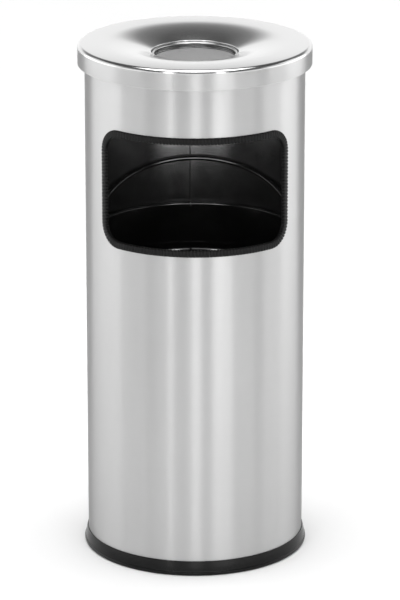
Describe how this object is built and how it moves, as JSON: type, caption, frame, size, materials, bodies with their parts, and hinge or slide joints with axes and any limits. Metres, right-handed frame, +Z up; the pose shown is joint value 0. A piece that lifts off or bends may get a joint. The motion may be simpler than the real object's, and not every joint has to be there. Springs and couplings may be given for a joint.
{
  "type": "ashtray bin",
  "caption": "Round free-standing steel litter bin with a throw-in window, a lift-out liner with a bail handle, and an ash pan with a sieve under a dished lid.",
  "frame": {"origin": "centre of the base, on the surface the bin stands on", "axes": "+Z up along the tube, the throw-in window faces -Y, +X to the right seen from the front"},
  "size_m": [0.2766, 0.2766, 0.62],
  "materials": {
    "satin_steel": "satin brushed stainless steel",
    "plain_steel": "plain rolled steel",
    "sieve_steel": "matt perforated steel",
    "black_enamel": "glossy black coating with slight orange peel",
    "edging_rubber": "ribbed black rubber",
    "foot_rubber": "smooth satin black"
  },
  "bodies": {
    "housing": {"body_tube": "satin_steel", "floor_plate": "black_enamel", "base_ring": "foot_rubber", "window_trim": "edging_rubber"},
    "liner": {"liner_wall": "black_enamel", "liner_floor": "black_enamel", "rim_wire": "plain_steel", "bail_rivets": "plain_steel"},
    "bail": {"bail_handle": "black_enamel"},
    "pan": {"ash_pan": "black_enamel"},
    "lid": {"lid_top": "satin_steel", "lid_collar": "plain_steel"},
    "sieve": {"sieve_cup": "satin_steel", "sieve_disc": "sieve_steel", "sieve_retainer": "plain_steel"}
  },
  "joints": [
    {"name": "liner_lift", "type": "slide", "parent": "housing", "child": "liner", "axis": [0, 0, 1], "range_m": [0, 0.62]},
    {"name": "bail_turn", "type": "hinge", "parent": "liner", "child": "bail", "pos_m": [0, 0, 0.38], "axis": [1, 0, 0], "range_deg": [0, 120]},
    {"name": "pan_lift", "type": "slide", "parent": "liner", "child": "pan", "axis": [0, 0, 1], "range_m": [0, 0.1]},
    {"name": "lid_lift", "type": "slide", "parent": "pan", "child": "lid", "axis": [0, 0, 1], "range_m": [0, 0.08]},
    {"name": "sieve_lift", "type": "slide", "parent": "lid", "child": "sieve", "axis": [0, 0, 1], "range_m": [0, 0.05]}
  ]
}
